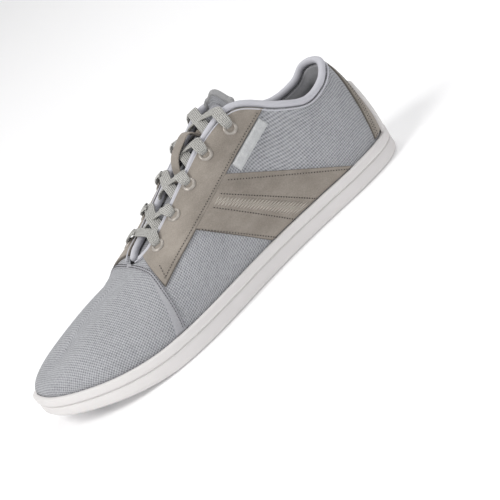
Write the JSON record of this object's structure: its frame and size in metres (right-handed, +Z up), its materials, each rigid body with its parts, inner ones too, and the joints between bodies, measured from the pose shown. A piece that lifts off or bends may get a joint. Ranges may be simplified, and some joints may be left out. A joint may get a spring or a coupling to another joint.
{
  "type": "barefoot shoe",
  "caption": "Low wide-toed flexible shoe with a flat cup sole, canvas upper, nubuck eyestays and heel counter, padded collar and flat laces.",
  "frame": {"origin": "under the middle of the shoe's box, on the plane that the tread stands on", "axes": "+X from heel to toe, +Y to the outer side of the foot, +Z up"},
  "size_m": [0.2862, 0.1094, 0.1004],
  "materials": {
    "sole_rubber": "pale warm grey rubber, satin, slightly textured side wall and a smooth lighter bead",
    "canvas": "light lavender grey plain weave canvas with fine dark and pale specks, matt",
    "insole_foam": "grey fabric covered insole, matt",
    "nubuck": "warm taupe nubuck, matt with fine nap, crisp cut edges and tonal stitching",
    "lining": "soft grey padded lining, matt, with gentle folds at the heel",
    "seam_tape": "grey seam tape with a double row of stitches",
    "tab_tape": "pale fuzzy woven tape, blank",
    "binding_knit": "light grey knitted binding with fine ribs across the roll",
    "eyelet_metal": "satin grey taupe eyelet rings",
    "lace_cotton": "flat off-white braided lace with lengthwise ribs"
  },
  "bodies": {
    "root": {"outsole": "sole_rubber", "upper": "canvas", "insole": "insole_foam", "tongue": "canvas", "tongue_keeper": "nubuck", "tongue_label": "lining", "heel_counter": "nubuck", "vamp_tape": "seam_tape", "side_tab": "tab_tape", "collar_binding": "binding_knit", "eyestay_outer": "nubuck", "stripe_outer": "nubuck", "eyelet_outer_1": "eyelet_metal", "eyelet_outer_2": "eyelet_metal", "eyelet_outer_3": "eyelet_metal", "eyelet_outer_4": "eyelet_metal", "eyelet_outer_5": "eyelet_metal", "eyestay_inner": "nubuck", "stripe_inner": "nubuck", "eyelet_inner_1": "eyelet_metal", "eyelet_inner_2": "eyelet_metal", "eyelet_inner_3": "eyelet_metal", "eyelet_inner_4": "eyelet_metal", "eyelet_inner_5": "eyelet_metal", "lace_bar": "lace_cotton", "lace_cross_1": "lace_cotton", "lace_cross_2": "lace_cotton", "lace_cross_3": "lace_cotton", "lace_cross_4": "lace_cotton"}
  },
  "joints": []
}
